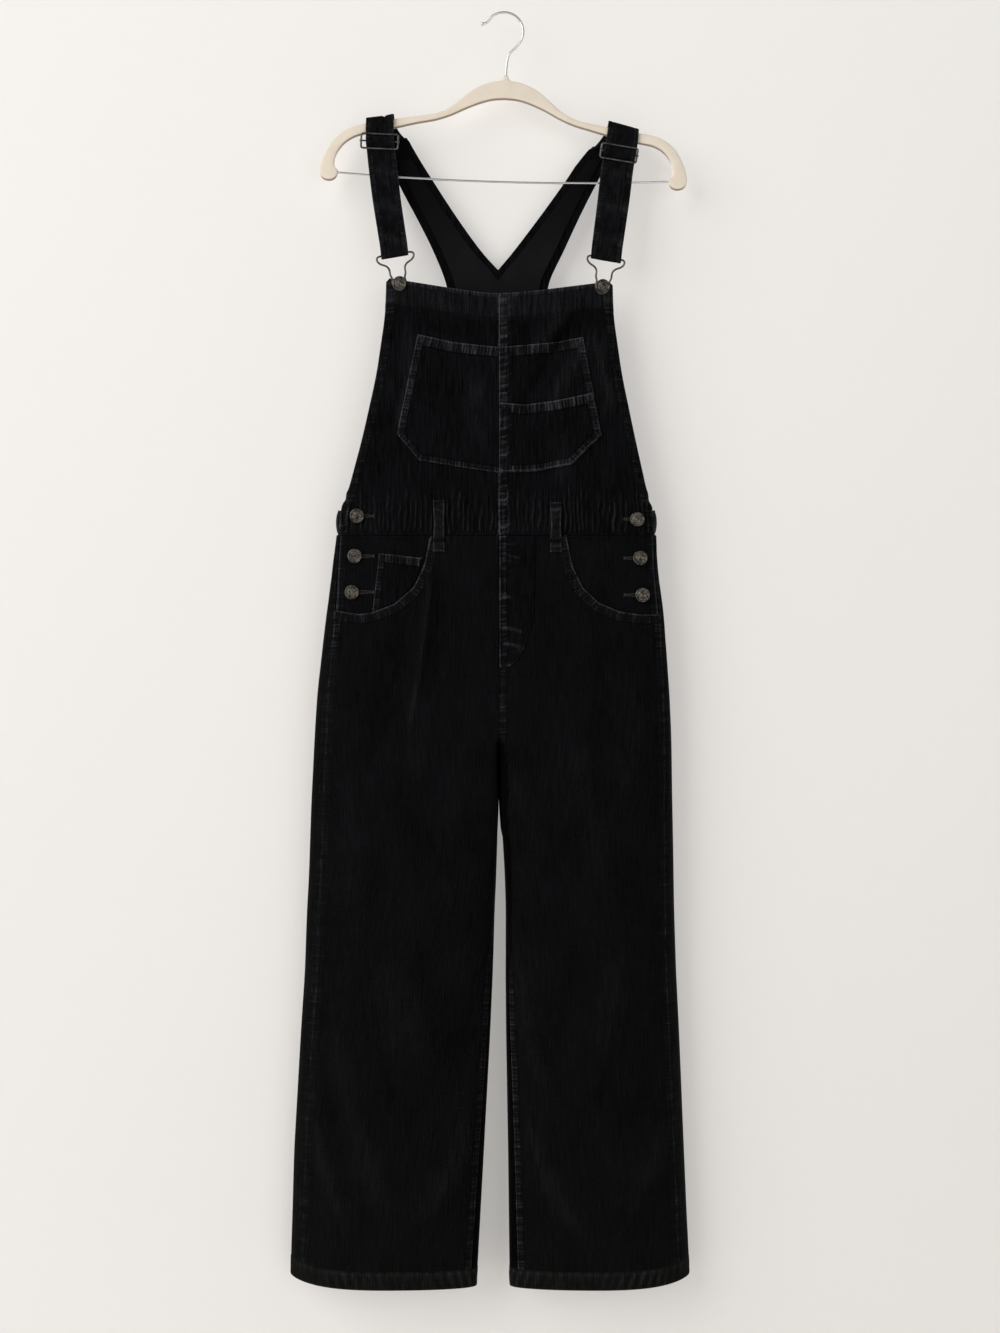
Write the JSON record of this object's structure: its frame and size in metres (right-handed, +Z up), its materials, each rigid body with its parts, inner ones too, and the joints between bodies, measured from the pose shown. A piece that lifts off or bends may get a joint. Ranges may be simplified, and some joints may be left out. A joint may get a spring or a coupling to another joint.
{
  "type": "bib overalls on a clothes hanger",
  "caption": "Wide-legged bib overalls of corduroy with a V back, hanging by their shoulder straps on a flocked clothes hanger with a wire hook and bar.",
  "frame": {"origin": "inside top of the hanger's hook, where the rod touches it", "axes": "+X to the viewer's right, +Y into the wall behind, +Z up"},
  "size_m": [0.4852, 0.0602, 1.544],
  "materials": {
    "corduroy": "fine-wale black cotton corduroy",
    "corduroy_trim": "the same corduroy, worn lighter at edges",
    "dark_metal": "dark oxidised metal",
    "steel": "polished wire",
    "flock": "cream flocking on plastic"
  },
  "bodies": {
    "root": {"back_leg_left": "corduroy", "back_leg_right": "corduroy", "front_leg_left": "corduroy", "front_leg_right": "corduroy", "side_panel_left": "corduroy", "side_panel_right": "corduroy", "bib_left": "corduroy", "bib_right": "corduroy", "waistband_back": "corduroy", "bib_back": "corduroy", "strap_left": "corduroy", "strap_right": "corduroy", "back_facing": "corduroy_trim", "leg_hem_left": "corduroy_trim", "leg_hem_right": "corduroy_trim", "coin_pocket": "corduroy_trim", "fly": "corduroy_trim", "bib_pocket_left": "corduroy_trim", "bib_pocket_right": "corduroy_trim", "bib_pocket_small": "corduroy_trim", "belt_loop_left": "corduroy_trim", "belt_loop_right": "corduroy_trim", "slider_left": "dark_metal", "slider_right": "dark_metal", "bib_hook_left": "dark_metal", "bib_hook_right": "dark_metal", "bib_button_left": "dark_metal", "bib_button_right": "dark_metal", "side_button_left_1": "dark_metal", "side_button_left_2": "dark_metal", "side_button_left_3": "dark_metal", "side_button_right_1": "dark_metal", "side_button_right_2": "dark_metal", "side_button_right_3": "dark_metal", "hanger_body": "flock", "hanger_hook": "steel", "hanger_bar": "steel"}
  },
  "joints": []
}
